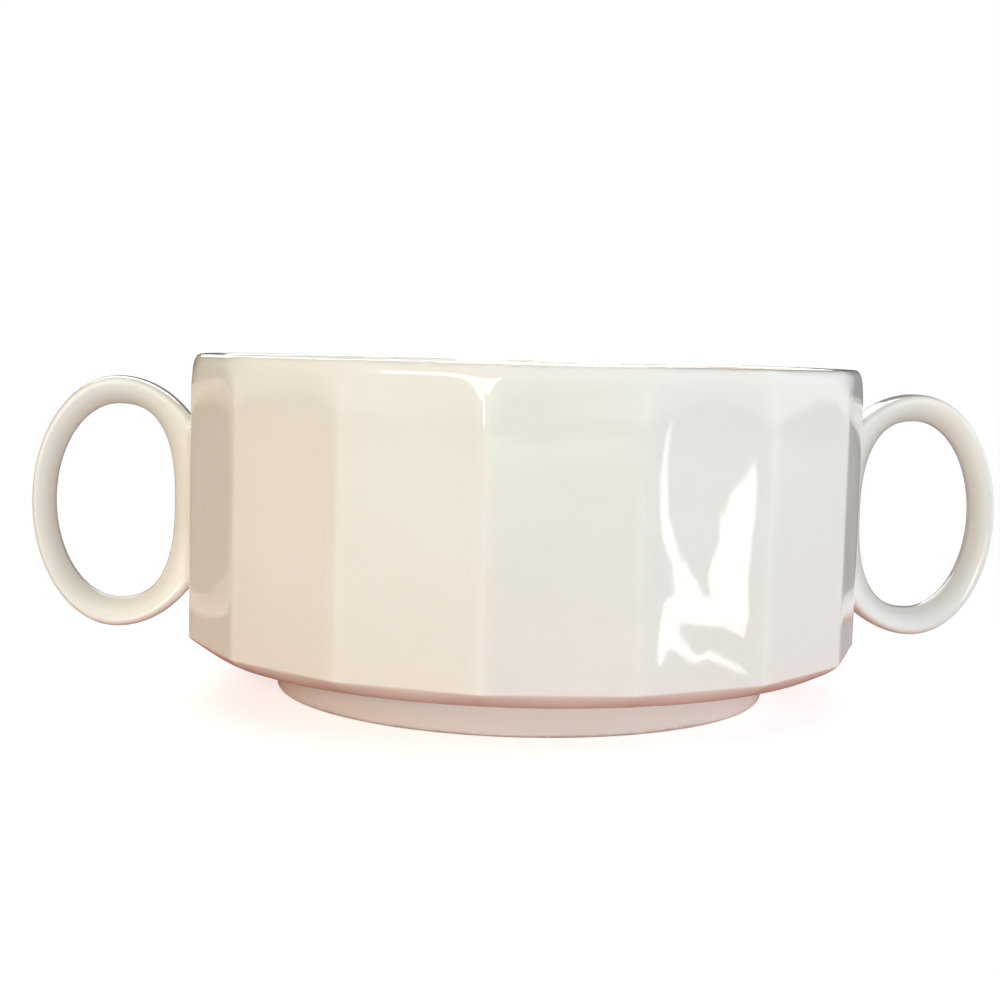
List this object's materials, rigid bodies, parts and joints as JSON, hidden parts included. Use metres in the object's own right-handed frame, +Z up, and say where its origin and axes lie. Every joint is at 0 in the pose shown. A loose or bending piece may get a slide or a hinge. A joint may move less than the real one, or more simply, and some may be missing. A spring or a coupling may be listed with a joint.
{
  "type": "cream soup bowl",
  "caption": "Low glazed porcelain soup bowl with a faceted straight wall, a round inside, a foot ring and a closed loop handle on each side.",
  "frame": {"origin": "on the table, under the middle of the bowl", "axes": "+Z up out of the bowl's mouth, +X through the right handle, +Y away from the front"},
  "size_m": [0.1568, 0.106, 0.053],
  "materials": {
    "glazed_porcelain": "gloss",
    "glazed_slip": "gloss",
    "foot_porcelain": "gloss wall, bare standing face"
  },
  "bodies": {
    "root": {"bowl_body": "glazed_porcelain", "foot_ring": "foot_porcelain", "foot_slip_joint": "glazed_slip", "right_handle": "glazed_porcelain", "right_handle_slip_joint": "glazed_slip", "left_handle": "glazed_porcelain", "left_handle_slip_joint": "glazed_slip"}
  },
  "joints": []
}
